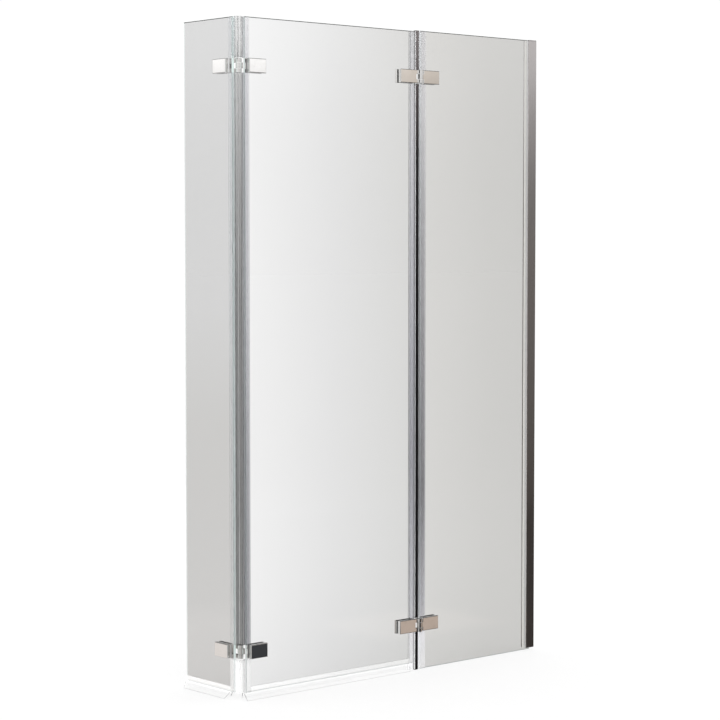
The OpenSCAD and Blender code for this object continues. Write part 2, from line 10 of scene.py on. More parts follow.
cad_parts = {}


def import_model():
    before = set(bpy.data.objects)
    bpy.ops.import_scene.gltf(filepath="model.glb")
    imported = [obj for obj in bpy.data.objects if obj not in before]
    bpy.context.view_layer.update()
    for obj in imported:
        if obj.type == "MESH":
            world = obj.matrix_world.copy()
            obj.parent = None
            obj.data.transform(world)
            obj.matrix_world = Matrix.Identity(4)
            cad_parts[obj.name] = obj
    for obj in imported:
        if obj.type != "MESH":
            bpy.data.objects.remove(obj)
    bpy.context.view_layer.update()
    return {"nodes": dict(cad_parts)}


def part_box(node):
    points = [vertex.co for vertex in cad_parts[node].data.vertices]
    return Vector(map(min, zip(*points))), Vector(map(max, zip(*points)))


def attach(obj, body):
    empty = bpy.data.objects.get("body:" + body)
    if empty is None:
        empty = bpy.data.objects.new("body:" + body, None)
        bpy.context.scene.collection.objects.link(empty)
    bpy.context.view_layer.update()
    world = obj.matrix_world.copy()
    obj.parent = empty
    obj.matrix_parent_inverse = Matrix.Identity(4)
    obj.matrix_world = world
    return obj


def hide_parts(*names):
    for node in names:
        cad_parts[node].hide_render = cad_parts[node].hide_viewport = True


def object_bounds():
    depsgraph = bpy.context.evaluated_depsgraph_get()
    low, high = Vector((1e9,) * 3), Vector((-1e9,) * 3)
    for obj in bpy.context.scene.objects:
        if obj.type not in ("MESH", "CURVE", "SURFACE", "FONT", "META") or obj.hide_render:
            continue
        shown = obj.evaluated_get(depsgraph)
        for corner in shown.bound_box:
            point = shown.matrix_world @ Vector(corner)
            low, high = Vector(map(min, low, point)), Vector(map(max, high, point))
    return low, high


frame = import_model()
NODES = frame["nodes"]
SCENE = bpy.context.scene

# Lengths are in metres, in the frame of the part: +Z up, +X into the wall, -Y to the room.
LOW_CORNER, HIGH_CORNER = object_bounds()
RIM_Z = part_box("fixed_glass")[0].z
TOP_Z = HIGH_CORNER.z
FOOTPRINT = ((LOW_CORNER.x + HIGH_CORNER.x) / 2, (LOW_CORNER.y + HIGH_CORNER.y) / 2)
AXES = "XYZ"
X, Y = 0, 1

# Shares of the screen's height: where the seals' low lengths end, and the low hinges' tops
LOW_LENGTH_END = 0.055
LOW_HINGE_TOP = 0.075

# Panes: width of the ground arris, depth of the painted shade along the top edge, steps round a
# hole, and the least angle between the faces that meet at a hole's rim
ARRIS = 0.0012
TOP_EDGE_DEPTH = 0.004
HOLE_STEPS = 64
RIM_ANGLE = math.radians(60)

# Seals: from a pane's edge to the rolled lip, the depth of a sawn end, and the film of air
SEAL_WEB = 0.0035
SAWN_DEPTH = 0.0003
AIR_FILM = 0.00004

# Bevel on the extrusions, along edges that are sharper than the angle
BEVEL_WIDTH = 0.0003
BEVEL_SEGMENTS = 2
BEVEL_ANGLE = math.radians(35)

# Points that are nearer to each other than this are one point
TOUCH = 0.00001

# Camera, fitted to the photograph; angles in degrees, lens and sensor in millimetres
CAMERA_PLACE = (-3.5008, -3.3954, 0.94405)
CAMERA_AZIMUTH = -41.218
CAMERA_TILT = 3.284
CAMERA_LENS = 105.70
CAMERA_SENSOR = 36.0
CAMERA_REACH = 200.0


# ---- Colours ----

def rgb(value, tint=(1, 1, 1)):
    return tuple(value * t for t in tint)


def rgba(colour):
    return (*colour, 1.0)


BLACK = rgb(0.0)
WHITE = rgb(1.0)
CLEAR = [(0.0, WHITE), (1.0, WHITE)]


# ---- Shader helpers ----

NOISE_ROUGHNESS = 0.55
# Noise hardly ever leaves this span
NOISE_SPAN = (0.3, 0.7)

# Stretches that draw noise out into lines along an axis
UPRIGHT_LINES = (1, 1, 0.02)
X_LINES = (0.02, 1, 1)
Y_LINES = (1, 0.02, 1)

# Sockets of a mix node for its two colours and the mixed one, which share names with others
COLOUR_A, COLOUR_B, COLOUR_MIXED = 6, 7, 2


class Shader:
    """A material under construction: adds nodes and joins their sockets."""

    def __init__(self, name):
        self.material = bpy.data.materials.new(name)
        self.material.use_nodes = True
        self.tree = self.material.node_tree
        self.tree.nodes.clear()
        self.output = self.tree.nodes.new("ShaderNodeOutputMaterial")
        self.place = self.tree.nodes.new("ShaderNodeTexCoord")

    def node(self, kind, **settings):
        made = self.tree.nodes.new(kind)
        for key, value in settings.items():
            setattr(made, key, value)
        return made

    def join(self, source, target):
        self.tree.links.new(source, target)

    def put(self, target, value):
        """Links value where it is a socket, and sets it where it is a constant."""
        if isinstance(value, bpy.types.NodeSocket):
            self.join(value, target)
        else:
            target.default_value = value

    def math(self, operation, a, b=0.0):
        made = self.node("ShaderNodeMath", operation=operation)
        self.put(made.inputs[0], a)
        self.put(made.inputs[1], b)
        return made.outputs[0]

    def axis(self, name, source="Object"):
        split = self.node("ShaderNodeSeparateXYZ")
        self.join(self.place.outputs[source], split.inputs[0])
        return split.outputs[name]

    def past(self, axis, limit):
        """1 where the axis is past limit, and 0 short of it."""
        return self.math("GREATER_THAN", self.axis(axis), limit)

    def short_of(self, axis, limit):
        """1 where the axis is short of limit, and 0 past it."""
        return self.math("LESS_THAN", self.axis(axis), limit)

    def remap(self, value, span, to_span):
        """Carries value from one span, as (low, high), over to another."""
        made = self.node("ShaderNodeMapRange")
        self.put(made.inputs["Value"], value)
        for key, number in zip(("From Min", "From Max", "To Min", "To Max"), (*span, *to_span)):
            self.put(made.inputs[key], number)
        return made.outputs[0]

    def height(self):
        """Share of the screen's height: 0 at the bath rim and 1 at the top."""
        return self.remap(self.axis("Z"), (RIM_Z, TOP_Z), (0.0, 1.0))

    def noise(self, scale, detail=3.0, stretch=(1, 1, 1)):
        """Noise over the object's own coordinates, drawn out along an axis by a small factor."""
        mapping = self.node("ShaderNodeMapping")
        mapping.inputs["Scale"].default_value = stretch
        self.join(self.place.outputs["Object"], mapping.inputs["Vector"])
        made = self.node("ShaderNodeTexNoise")
        self.join(mapping.outputs[0], made.inputs["Vector"])
        made.inputs["Scale"].default_value = scale
        made.inputs["Detail"].default_value = detail
        made.inputs["Roughness"].default_value = NOISE_ROUGHNESS
        return made.outputs["Fac"]

    def spread(self, noise, low, high):
        """Noise that runs from low to high."""
        return self.remap(noise, NOISE_SPAN, (low, high))

    def ramp(self, value, stops):
        """Colour ramp through (place, colour) stops."""
        made = self.node("ShaderNodeValToRGB")
        self.put(made.inputs[0], value)
        elements = made.color_ramp.elements
        while len(elements) < len(stops):
            elements.new(1.0)
        for element, (place, colour) in zip(elements, stops):
            element.position = place
            element.color = rgba(colour)
        return made.outputs[0]

    def mix(self, factor, a, b, blend="MIX"):
        made = self.node("ShaderNodeMix", data_type="RGBA", blend_type=blend)
        self.put(made.inputs["Factor"], factor)
        self.put(made.inputs[COLOUR_A], a)
        self.put(made.inputs[COLOUR_B], b)
        return made.outputs[COLOUR_MIXED]

    def times(self, a, b):
        return self.mix(1.0, a, b, "MULTIPLY")

    def bump(self, height, strength, distance):
        made = self.node("ShaderNodeBump")
        self.join(height, made.inputs["Height"])
        made.inputs["Strength"].default_value = strength
        made.inputs["Distance"].default_value = distance
        return made.outputs[0]

    def surface(self, **values):
        """Principled surface from its sockets' values, with any emission at full strength."""
        made = self.node("ShaderNodeBsdfPrincipled")
        for key, value in values.items():
            self.put(made.inputs[key.replace("_", " ")], value)
        if "Emission_Color" in values:
            made.inputs["Emission Strength"].default_value = 1.0
        self.join(made.outputs[0], self.output.inputs["Surface"])
        return self.material


# ---- Finishes of glass and seals ----

GLASS_INDEX = 1.52
VINYL_INDEX = 1.5
# The bottom seals bend light less, so that their thin fins get no hard outline
FIN_INDEX = 1.36

# Edges of the panes: their tones, and the painted glow that stands in for the light that the
# glass carries to them. The low glows are those below the low hinges. At a pane's far end, the
# arris has the far share of the edge's own painted glow.
EDGE_TONE = 0.44
EDGE_GLOW = 0.38
EDGE_LOW_GLOW = 0.42
ARRIS_TONE = (0.34, 0.39, 0.38)
# Painted shade: the arris along the top edge is dark and has no glow
TOP_ARRIS_PAINTED_SHADE = (0.06, 0.075, 0.07)
ARRIS_LOW_GLOW = 0.30
ARRIS_FAR_SHARE = 0.85

# Painted glow of the clouded sawn end of a bottom seal
SAWN_GLOW = 0.50


def clear_glass(name, axis, span, tints_and_painted_light):
    """Glass with a breath of haze and a faint tint, with painted light that varies it over the span
    of an axis.
    """
    shader = Shader(name)
    tint = shader.ramp(shader.remap(shader.axis(axis), span, (0.0, 1.0)), tints_and_painted_light)
    haze = shader.spread(shader.noise(scale=2.6, detail=4.0), 0.985, 1.0)
    return shader.surface(
        Base_Color=shader.times(tint, haze), Roughness=0.0, IOR=GLASS_INDEX, Transmission_Weight=1.0
    )


def edge_light(shader, low_colour, colour, far_edge):
    """Painted glow for the light that the glass carries to an edge: paler below the low hinges and
    near the top.

    far_edge is (axis, limit, glow): past limit on the axis, the edge has a painted glow of its own.
    """
    axis, limit, far_glow = far_edge
    stops = [
        (0.0, low_colour), (LOW_LENGTH_END, low_colour), (LOW_HINGE_TOP, colour),
        (0.80, colour), (1.0, rgb(1.5, colour)),
    ]
    glow = shader.ramp(shader.height(), stops)
    return shader.mix(shader.past(axis, limit), glow, rgba(rgb(far_glow)))


def polished_edge(name, tint, far_edge):
    """Polished edge of a pane, with the tint of the glass and a painted glow."""
    shader = Shader(name)
    shares = (0.92, 1.0)
    cloud = shader.spread(shader.noise(scale=60.0, detail=4.0), *shares)
    glow = edge_light(shader, rgb(EDGE_LOW_GLOW), rgb(EDGE_GLOW, tint), far_edge)
    return shader.surface(
        Base_Color=shader.times(rgba(rgb(EDGE_TONE, tint)), cloud),
        Emission_Color=shader.times(glow, cloud),
        Roughness=shader.remap(cloud, shares, (0.08, 0.16)),
    )


def ground_arris(name, glow_colour, far_edge):
    """The narrow chamfer ground along the edges of a pane, with a painted glow, and painted shade
    that darkens it along its top edge.
    """
    shader = Shader(name)
    shares = (0.85, 1.0)
    grain = shader.spread(shader.noise(scale=600.0, detail=4.0), *shares)
    upper = shader.past("Z", TOP_Z - TOP_EDGE_DEPTH)
    base = shader.mix(upper, rgba(ARRIS_TONE), rgba(TOP_ARRIS_PAINTED_SHADE))
    glow = edge_light(shader, rgb(ARRIS_LOW_GLOW), glow_colour, far_edge)
    glow = shader.mix(upper, glow, rgba(BLACK))
    return shader.surface(
        Base_Color=shader.times(base, grain),
        Emission_Color=shader.times(glow, grain),
        Roughness=shader.remap(grain, shares, (0.35, 0.5)),
        Normal=shader.bump(grain, strength=0.1, distance=0.0001),
    )


def vinyl(name, tones, painted_glow, lines=UPRIGHT_LINES, index=VINYL_INDEX, lip=None, cut=None):
    """Clear soft vinyl with the faint lines that extruding leaves along it.

    tones are the stops of its tint up the screen, with painted shade in them, and the stops after
    them those of a painted glow for the light that it scatters where its vinyl is clouded.
    lip is (axis, limit, stops): the thick rolled lip of a seal, short of the limit, in painted
    shade.
    cut is (axis, limit): the sawn end of a seal, short of the limit, is cloudier, with a brighter
    painted glow.
    """
    shader = Shader(name)
    height = shader.height()
    colour = shader.ramp(height, tones)
    if lip:
        axis, limit, lip_painted_shade = lip
        colour = shader.mix(shader.short_of(axis, limit), colour, shader.ramp(height, lip_painted_shade))
    # Painted glow for the light that the clouded vinyl scatters
    painted_glow_colour = shader.ramp(height, painted_glow)
    if cut:
        painted_glow_colour = shader.mix(shader.short_of(*cut), painted_glow_colour, rgba(rgb(SAWN_GLOW)))
    drawn = shader.noise(scale=420.0, detail=2.0, stretch=lines)
    return shader.surface(
        Base_Color=shader.mix(0.10, colour, shader.spread(drawn, 0.7, 1.0), "MULTIPLY"),
        Roughness=shader.spread(shader.noise(scale=40.0), 0.04, 0.10),
        IOR=index,
        Transmission_Weight=0.95,
        Emission_Color=painted_glow_colour,
        Normal=shader.bump(drawn, strength=0.08, distance=0.0002),
    )


# ---- Finishes of metal, nylon and rubber ----

CHROME_CLEAN = (0.90, 0.89, 0.88)
CHROME_SMEARED = (0.80, 0.79, 0.77)
# Painted shade: the share of its brightness that chrome keeps on faces that look up
CHROME_TOP_PAINTED_SHADE = 0.25
ALUMINIUM_TONES = ((0.83, 0.80, 0.81), (0.91, 0.885, 0.895))
STEEL_TONES = ((0.52, 0.52, 0.52), (0.78, 0.77, 0.76))
FULL_GLOSS = 0.5

# Glazing gaskets: the wedge on the room side of the glass and the backing strip behind it, with
# painted glows
WEDGE_TONE = (0.36, 0.355, 0.35)
WEDGE_GLOW = [(0.0, rgb(0.20)), (0.8, rgb(0.24)), (1.0, rgb(0.42))]
BACKING_TONE = (0.65, 0.65, 0.64)
BACKING_GLOW = (0.85, 0.85, 0.84)


def chrome(name, underside_painted_shade):
    """Polished chrome with the faint waviness and smears of a handled fitting.

    Faces that look up or down, which are narrow, get painted shade: they keep only a share of the
    brightness.
    """
    shader = Shader(name)
    smear = shader.noise(scale=55.0, detail=5.0)
    smeared = shader.remap(smear, (0.4, 0.8), (0.0, 0.5))
    colour = shader.mix(smeared, rgba(CHROME_CLEAN), rgba(CHROME_SMEARED))
    facing = shader.remap(shader.axis("Z", "Normal"), (-1.0, 1.0), (0.0, 1.0))
    underside, top = rgb(underside_painted_shade), rgb(CHROME_TOP_PAINTED_SHADE)
    shares = [
        (0.0, underside), (0.05, underside), (0.20, WHITE), (0.80, WHITE), (0.95, top), (1.0, top)
    ]
    return shader.surface(
        Base_Color=shader.times(colour, shader.ramp(facing, shares)),
        Metallic=1.0,
        Roughness=shader.remap(smear, (0.35, 0.75), (0.035, 0.11)),
        Normal=shader.bump(shader.noise(scale=120.0, detail=1.0), strength=0.03, distance=0.0003),
    )


def extruded_aluminium(name):
    """Bright anodised extrusion: fine lines along its length and a soft sheen."""
    shader = Shader(name)
    lines = shader.noise(scale=1400.0, stretch=(1, 1, 0.004))
    cloud = shader.noise(scale=14.0, detail=4.0, stretch=(1, 1, 0.3))
    return shader.surface(
        Base_Color=shader.mix(lines, *map(rgba, ALUMINIUM_TONES)),
        Metallic=1.0,
        Roughness=shader.remap(shader.math("ADD", lines, cloud), (0.6, 1.4), (0.10, 0.24)),
        Normal=shader.bump(lines, strength=0.08, distance=0.0001),
    )


def turned_steel(name, roughness, grain):
    """Stainless steel with fine machining marks."""
    shader = Shader(name)
    marks = shader.noise(scale=grain, detail=4.0)
    return shader.surface(
        Base_Color=shader.mix(marks, *map(rgba, STEEL_TONES)),
        Metallic=1.0,
        Roughness=shader.spread(marks, roughness, roughness + 0.15),
        Normal=shader.bump(marks, strength=0.1, distance=0.0001),
    )


def fine_grain(shader):
    return shader.noise(scale=700.0, stretch=(1, 1, 0.3))


def rubber(name, tones, roughness, glow, shade=None, gloss=FULL_GLOSS):
    """Matt rubber or plastic with a fine grain between its two tones.

    glow are the stops, up the screen, of a painted glow for the light that reaches it through the
    glass.
    shade is (limit, stops): past limit on X, stops of painted shade dim both the tones and the
    glow.
    """
    shader = Shader(name)
    grain = fine_grain(shader)
    height = shader.height()
    colour = shader.mix(grain, *map(rgba, tones))
    light = shader.ramp(height, glow)
    if shade:
        limit, stops = shade
        dimmed = shader.mix(shader.past("X", limit), rgba(WHITE), shader.ramp(height, stops))
        colour = shader.times(colour, dimmed)
        light = shader.times(light, dimmed)
    return shader.surface(
        Base_Color=colour,
        Emission_Color=light,
        Specular_IOR_Level=gloss,
        Roughness=shader.spread(grain, roughness, roughness + 0.15),
        Normal=shader.bump(grain, strength=0.15, distance=0.0001),
    )


def gasket_rubber():
    """Grey wedge on the room side of the glass and a pale strip behind it, both with a painted
    glow.
    """
    shader = Shader("glazing_rubber")
    shares = (0.88, 1.0)
    grain = shader.spread(fine_grain(shader), *shares)
    front = shader.short_of("Y", 0.0)
    tone = shader.mix(front, rgba(BACKING_TONE), rgba(WEDGE_TONE))
    glow = shader.mix(front, rgba(BACKING_GLOW), shader.ramp(shader.height(), WEDGE_GLOW))
    return shader.surface(
        Base_Color=shader.times(tone, grain),
        Emission_Color=shader.times(glow, grain),
        Roughness=shader.remap(grain, shares, (0.45, 0.6)),
        Normal=shader.bump(grain, strength=0.15, distance=0.0001),
    )


# ---- Dressing of CAD nodes ----

def weld(node):
    """Joins the points that touch, so that the modifiers after it see one closed surface."""
    node.modifiers.new("weld", "WELD").merge_threshold = TOUCH


def break_edges(name):
    """Breaks the node's sharp edges with a small bevel."""
    node = NODES[name]
    weld(node)
    bevel = node.modifiers.new("bevel", "BEVEL")
    bevel.width = BEVEL_WIDTH
    bevel.segments = BEVEL_SEGMENTS
    bevel.limit_method = "ANGLE"
    bevel.angle_limit = BEVEL_ANGLE
    even = node.modifiers.new("even", "WEIGHTED_NORMAL")
    even.keep_sharp = True


def ease(name):
    """Leaves a film of air between a seal and the glass that it grips, so light passes both."""
    node = NODES[name]
    weld(node)
    shrink = node.modifiers.new("air", "DISPLACE")
    shrink.strength = -AIR_FILM
    shrink.mid_level = 0.0


def finish(material, *names):
    for name in names:
        slots = NODES[name].data.materials
        slots.clear()
        slots.append(material)


def named(word):
    """The CAD nodes whose names hold the word."""
    return [name for name in NODES if word in name]


# ---- Panes ----

def hole_rims(node, along, across):
    """Centre and radius of each round hole in a pane, from the sharp rims on the pane's face."""
    low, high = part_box(node)
    form = bmesh.new()
    form.from_mesh(NODES[node].data)
    bmesh.ops.remove_doubles(form, verts=form.verts, dist=TOUCH)

    def on_rim(vert):
        inside = low[along] + TOUCH < vert.co[along] < high[along] - TOUCH
        return inside and abs(vert.co[across] - low[across]) < TOUCH

    seen = set()
    holes = []
    for start in form.verts:
        if start in seen or not on_rim(start):
            continue
        rim = [start]
        seen.add(start)
        for vert in rim:  # which grows meanwhile, until it has gone round
            for edge in vert.link_edges:
                other = edge.other_vert(vert)
                if other not in seen and on_rim(other) and edge.calc_face_angle() > RIM_ANGLE:
                    seen.add(other)
                    rim.append(other)
        points = [Vector((vert.co[along], vert.co.z)) for vert in rim]
        centre = sum(points, Vector((0.0, 0.0))) / len(points)
        holes.append((centre, max((point - centre).length for point in points)))
    form.free()
    return holes


def circle(centre, radius, steps):
    turns = [2 * math.pi * i / steps for i in range(steps)]
    return [(centre[0] + radius * math.cos(a), centre[1] + radius * math.sin(a)) for a in turns]


def pane(name, node, body, along, materials):
    """Toughened pane in place of its CAD node: the same slab and holes, with ground edges.

    along is the axis of its width. materials are those of the faces, of the arris and of the edge.
    """
    across = 1 - along
    face_slot, arris_slot, edge_slot = range(len(materials))
    low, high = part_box(node)
    outline = [
        (low[along], low.z), (high[along], low.z), (high[along], high.z), (low[along], high.z)
    ]
    inset = [
        (u + (ARRIS if u == low[along] else -ARRIS), z + (ARRIS if z == low.z else -ARRIS))
        for u, z in outline
    ]
    rims = hole_rims(node, along, across)
    loops = [inset, *(circle(centre, radius, HOLE_STEPS) for centre, radius in rims)]

    mesh = bpy.data.meshes.new(name)
    form = bmesh.new()

    def ring(points, depth):
        made = []
        for u, z in points:
            place = [0.0, 0.0, z]
            place[along] = u
            place[across] = depth
            made.append(form.verts.new(place))
        return made

    def band(first, second, slot):
        count = len(first)
        for i in range(count):
            j = (i + 1) % count
            form.faces.new((first[i], first[j], second[j], second[i])).material_index = slot

    near = [ring(points, low[across]) for points in loops]
    far = [ring(points, high[across]) for points in loops]
    flat = tessellate_polygon([[Vector((u, z, 0.0)) for u, z in points] for points in loops])
    for side in (near, far):
        verts = [vert for points in side for vert in points]
        for triangle in flat:
            form.faces.new([verts[i] for i in triangle])
    near_edge = ring(outline, low[across] + ARRIS)
    far_edge = ring(outline, high[across] - ARRIS)
    band(near[0], near_edge, arris_slot)
    band(near_edge, far_edge, edge_slot)
    band(far_edge, far[0], arris_slot)
    for near_rim, far_rim in zip(near[1:], far[1:]):
        band(near_rim, far_rim, face_slot)
    bmesh.ops.recalc_face_normals(form, faces=form.faces)
    form.to_mesh(mesh)
    form.free()

    for material in materials:
        mesh.materials.append(material)
    thing = bpy.data.objects.new(name, mesh)
    SCENE.collection.objects.link(thing)
    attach(thing, body)
    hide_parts(node)


# Tints of the edges, and the painted glow of the arris
GREEN = (0.86, 1.0, 0.96)
GREY = (0.97, 1.0, 0.99)
ARRIS_GLOW = (0.23, 0.26, 0.255)
RETURN_ARRIS_GLOW = (0.34, 0.375, 0.37)

# Tints of the faces, with painted light and shade in them: along X on the fixed and the middle
# pane, and upwards on the return
FIXED_TINTS_AND_PAINTED_LIGHT = [(0.0, (0.70, 0.695, 0.68)), (0.6, (0.64, 0.635, 0.62)), (1.0, (0.62, 0.615, 0.60))]
MIDDLE_TINTS_AND_PAINTED_LIGHT = [(0.0, rgb(0.90)), (0.5, rgb(0.79)), (1.0, (0.70, 0.70, 0.69))]
RETURN_TINTS_AND_PAINTED_LIGHT = [
    (0.0, (0.61, 0.60, 0.59)), (0.40, (0.625, 0.62, 0.61)), (0.58, rgb(0.68)), (0.85, rgb(0.69)),
    (1.0, rgb(0.67)),
]


def panel_glass(panel, along, faces, tint, arris_glow, far_glow):
    """The pane of a panel: far_glow is the painted glow of its edge at the high end along the axis.
    """
    node = panel + "_glass"
    axis, limit = AXES[along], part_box(node)[1][along] - 2 * ARRIS
    arris = ground_arris(panel + "_arris", arris_glow, (axis, limit, ARRIS_FAR_SHARE * far_glow))
    edge = polished_edge(panel + "_edge", tint, (axis, limit, far_glow))
    pane(panel + "_pane", node, panel + "_panel", along, (faces, arris, edge))


def panes():
    fixed_low, fixed_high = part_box("fixed_glass")
    middle_low, middle_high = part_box("middle_glass")
    fixed_tint_and_painted_light = clear_glass("fixed_tint_and_painted_light", "X", (fixed_low.x, fixed_high.x), FIXED_TINTS_AND_PAINTED_LIGHT)
    middle_tint_and_painted_light = clear_glass("middle_tint_and_painted_light", "X", (middle_low.x, middle_high.x), MIDDLE_TINTS_AND_PAINTED_LIGHT)
    return_tint_and_painted_light = clear_glass("return_tint_and_painted_light", "Z", (RIM_Z, TOP_Z), RETURN_TINTS_AND_PAINTED_LIGHT)
    panel_glass("fixed", X, fixed_tint_and_painted_light, GREY, ARRIS_GLOW, far_glow=0.30)
    panel_glass("middle", X, middle_tint_and_painted_light, GREY, ARRIS_GLOW, far_glow=0.15)
    panel_glass("return", Y, return_tint_and_painted_light, GREEN, RETURN_ARRIS_GLOW, far_glow=0.95)


# ---- Seals ----

# Tints of the upright seals, from the bath rim to the top, with painted shade in them
SEAM_TONES_AND_PAINTED_SHADE = [
    (0.0, (0.99, 0.99, 1.0)), (0.08, (0.90, 0.90, 0.93)), (0.33, (0.70, 0.70, 0.74)),
    (0.57, (0.82, 0.82, 0.86)), (0.87, (0.95, 0.95, 0.98)), (1.0, (0.97, 0.97, 0.99)),
]
FIXED_TONES_AND_PAINTED_SHADE = [
    (0.0, (0.99, 0.99, 1.0)), (LOW_LENGTH_END, (0.95, 0.95, 0.98)), (0.10, (0.81, 0.81, 0.84)),
    (0.28, (0.53, 0.53, 0.55)), (0.50, (0.65, 0.65, 0.67)), (0.72, (0.77, 0.77, 0.79)),
    (0.89, (0.95, 0.95, 0.97)), (1.0, (0.97, 0.97, 0.99)),
]
CORNER_TONES_AND_PAINTED_SHADE = [
    (0.0, WHITE), (LOW_LENGTH_END, WHITE), (LOW_HINGE_TOP, (0.63, 0.63, 0.65)),
    (0.33, (0.65, 0.65, 0.67)), (0.57, (0.77, 0.77, 0.79)), (0.86, (0.85, 0.85, 0.87)),
    (0.93, (0.90, 0.90, 0.92)), (1.0, (0.97, 0.97, 0.98)),
]
RETURN_TONES_AND_PAINTED_SHADE = [(0.0, WHITE), (0.33, (0.94, 0.95, 0.96)), (1.0, (0.97, 0.98, 0.99))]
LIP_PAINTED_SHADE = [
    (0.0, WHITE), (LOW_LENGTH_END, rgb(0.98)), (LOW_HINGE_TOP, rgb(0.50)), (0.33, rgb(0.48)),
    (0.57, rgb(0.52)), (0.74, rgb(0.62)), (0.90, rgb(0.76)), (1.0, rgb(0.97)),
]
# Painted glow in the fins of the bottom seals
FIN_GLOW = 0.022


def low_painted_glow(glow):
    """Stops of the painted glow in the low lengths of an upright seal, which stand on the white
    rim.
    """
    return [(0.0, rgb(glow)), (0.062, rgb(glow)), (0.080, BLACK), (1.0, BLACK)]


def fin_painted_glow(glow):
    """Stops of the painted glow in a bottom seal: faint in its fins, and brighter in the legs above
    them.
    """
    return [(0.0, rgb(FIN_GLOW)), (0.0108, rgb(FIN_GLOW)), (0.0120, rgb(glow)), (1.0, rgb(glow))]


def seals():
    middle_low, return_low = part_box("middle_glass")[0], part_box("return_glass")[0]
    middle_lip = ("X", middle_low.x - SEAL_WEB, LIP_PAINTED_SHADE)
    return_lip = ("Y", return_low.y - SEAL_WEB, LIP_PAINTED_SHADE)
    middle_cut = ("X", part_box("middle_bottom_seal")[0].x + SAWN_DEPTH)
    return_cut = ("Y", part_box("return_bottom_seal")[0].y + SAWN_DEPTH)
    finish(vinyl("seam_vinyl", SEAM_TONES_AND_PAINTED_SHADE, low_painted_glow(0.060)), *named("seam_seal"))
    finish(vinyl("fixed_vinyl", FIXED_TONES_AND_PAINTED_SHADE, low_painted_glow(0.060)), *named("fixed_seal"))
    finish(
        vinyl("corner_vinyl", CORNER_TONES_AND_PAINTED_SHADE, low_painted_glow(0.040), lip=middle_lip), *named("corner_seal")
    )
    finish(
        vinyl("return_vinyl", RETURN_TONES_AND_PAINTED_SHADE, low_painted_glow(0.080), lip=return_lip), *named("return_seal")
    )
    finish(
        vinyl("bottom_vinyl", CLEAR, fin_painted_glow(0.075), X_LINES, FIN_INDEX, cut=middle_cut),
        "middle_bottom_seal",
    )
    finish(
        vinyl("return_bottom_vinyl", CLEAR, fin_painted_glow(0.14), Y_LINES, FIN_INDEX, cut=return_cut),
        "return_bottom_seal",
    )


# ---- Fittings ----

NYLON_TONES = ((0.78, 0.78, 0.76), (0.90, 0.90, 0.88))
# Painted glows up the screen, for light that reaches the bushes, pads and strip through the glass
NYLON_GLOW = [(0.0, BLACK), (1.0, WHITE)]
PAD_TONES = ((0.42, 0.43, 0.44), (0.52, 0.53, 0.54))
PAD_GLOW = [(0.0, rgb(0.05)), (1.0, rgb(0.12))]
RETURN_PAD_GLOW = [(0.0, rgb(0.30)), (1.0, rgb(0.55))]
# Between the corner and the seam; the seam's upper pads are past it and get painted shade
SEAM_SIDE_X = -0.6
UPPER_PAINTED_SHADE = [(0.0, WHITE), (0.3, WHITE), (0.7, rgb(0.12)), (1.0, rgb(0.12))]
STRIP_TONES = ((0.003, 0.003, 0.004), (0.009, 0.009, 0.010))
STRIP_GLOW = [
    (0.0, BLACK), (0.6, rgb(0.001)), (0.8, rgb(0.008)), (0.9, (0.055, 0.046, 0.046)),
    (0.95, (0.125, 0.11, 0.11)), (1.0, (0.185, 0.165, 0.165)),
]


def fittings():
    # The same chrome twice, with painted shade on the undersides of the fittings but not on the
    # return's leaves and covers
    bright = chrome("polished_chrome", underside_painted_shade=0.28)
    return_bright = chrome("return_chrome", underside_painted_shade=1.0)
    finish(bright, *named("leaf"), *named("cover"), "lock_screw_caps")
    finish(return_bright, *named("return_leaf"), *named("return_cover"))
    finish(
        extruded_aluminium("anodised_aluminium"), "wall_channel", "glazing_profile", "channel_cap"
    )
    finish(turned_steel("steel_screws", roughness=0.22, grain=900.0), *named("screws"))
    finish(turned_steel("steel_pins", roughness=0.12, grain=500.0), *named("pin"))
    finish(rubber("nylon", NYLON_TONES, 0.35, NYLON_GLOW), *named("bushes"))
    finish(
        rubber("clamp_pads", PAD_TONES, 0.45, PAD_GLOW, (SEAM_SIDE_X, UPPER_PAINTED_SHADE)), *named("pads")
    )
    finish(rubber("return_pads", PAD_TONES, 0.45, RETURN_PAD_GLOW), "return_clamp_pads")
    finish(gasket_rubber(), "glazing_gaskets")
    finish(rubber("black_strip", STRIP_TONES, 0.4, STRIP_GLOW, gloss=0.15), "seam_strips")


# ---- Studio ----

# Floor: half its side, how far it lies below the screen, its glow and its albedo
FLOOR_HALF = 40.0
FLOOR_DROP = 0.0005
FLOOR_GLOW = 0.77
FLOOR_ALBEDO = 0.25

WORLD_GLOW = 1.02

# The room that only reflections see
ROOM_RADIUS = 3.0
ROOM_HEIGHT = 3.4
ROOM_SIDES = 64
# Brightness round the room: 0 and 1 lie at -X, 0.25 at -Y, 0.5 at +X and 0.75 at +Y
ROOM_TURN = [
    (0.000, rgb(0.08)), (0.070, rgb(0.08)), (0.095, rgb(0.95)), (0.140, rgb(0.95)),
    (0.180, rgb(0.70)), (0.300, rgb(0.75)), (0.345, rgb(1.10)), (0.369, (0.69, 0.62, 0.55)),
    (0.389, rgb(0.52)), (0.500, rgb(0.40)), (0.580, rgb(0.10)), (0.700, rgb(0.10)),
    (0.830, rgb(0.45)), (0.848, rgb(1.15)), (0.885, rgb(1.15)), (0.908, rgb(0.08)),
]
